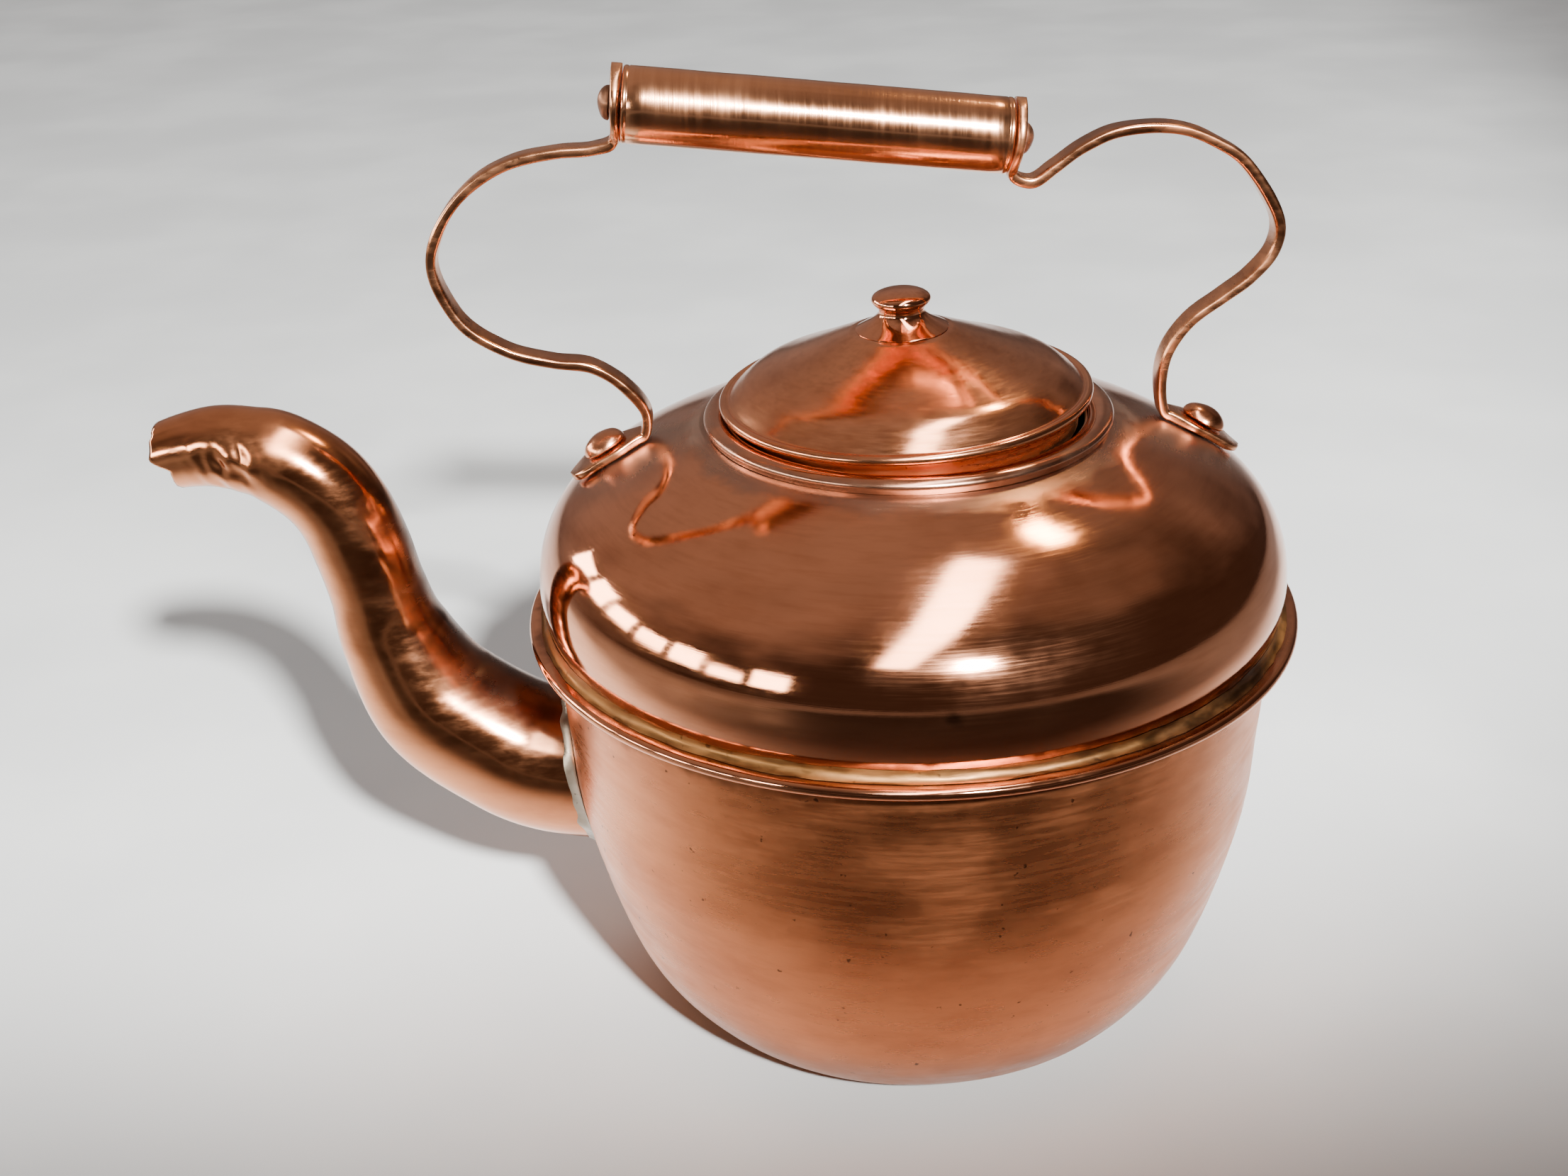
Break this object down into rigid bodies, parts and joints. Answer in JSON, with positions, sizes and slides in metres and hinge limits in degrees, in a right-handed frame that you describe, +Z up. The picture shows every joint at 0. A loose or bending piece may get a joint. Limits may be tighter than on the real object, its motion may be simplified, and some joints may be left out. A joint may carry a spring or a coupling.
{
  "type": "kettle",
  "caption": "Round copper kettle with a swan-neck spout, a lift-off lid with a knob, and a tubular grip on two curved strap arms.",
  "frame": {"origin": "centre of the flat base, on the surface that the kettle stands on", "axes": "+Z up along the kettle's axis, -X towards the spout"},
  "size_m": [0.2812, 0.19, 0.2401],
  "materials": {
    "polished_copper": "mirror polished copper with fine hairlines",
    "satin_copper": "satin brushed copper, darkened in places",
    "strap_copper": "dull bronze-brown copper strap",
    "rivet_copper": "dull copper",
    "grip_copper": "polished copper tube",
    "brazing": "brassy brazing metal with dark grime",
    "tin_solder": "dull silvery solder",
    "rod_iron": "dark iron rod with hammered heads"
  },
  "bodies": {
    "kettle": {"bowl": "satin_copper", "shoulder": "polished_copper", "rim_solder": "brazing", "neck_collar": "polished_copper", "spout": "satin_copper", "spout_solder": "tin_solder", "left_arm": "strap_copper", "right_arm": "strap_copper", "left_rivet": "rivet_copper", "right_rivet": "rivet_copper", "left_rivet_burr": "rivet_copper", "right_rivet_burr": "rivet_copper", "grip_rod": "rod_iron"},
    "lid": {"lid_dome": "polished_copper", "lid_bezel": "satin_copper", "lid_knob": "polished_copper", "knob_burr": "satin_copper"},
    "grip": {"grip_tube": "grip_copper"}
  },
  "joints": [
    {"name": "lid_lift", "type": "slide", "parent": "kettle", "child": "lid", "axis": [0, 0, 1], "range_m": [0, 0.02]},
    {"name": "grip_turn", "type": "hinge", "parent": "kettle", "child": "grip", "pos_m": [-0.02011, 0.00607, 0.2254], "axis": [0.9888, 0.0865, -0.1219], "continuous": true}
  ]
}
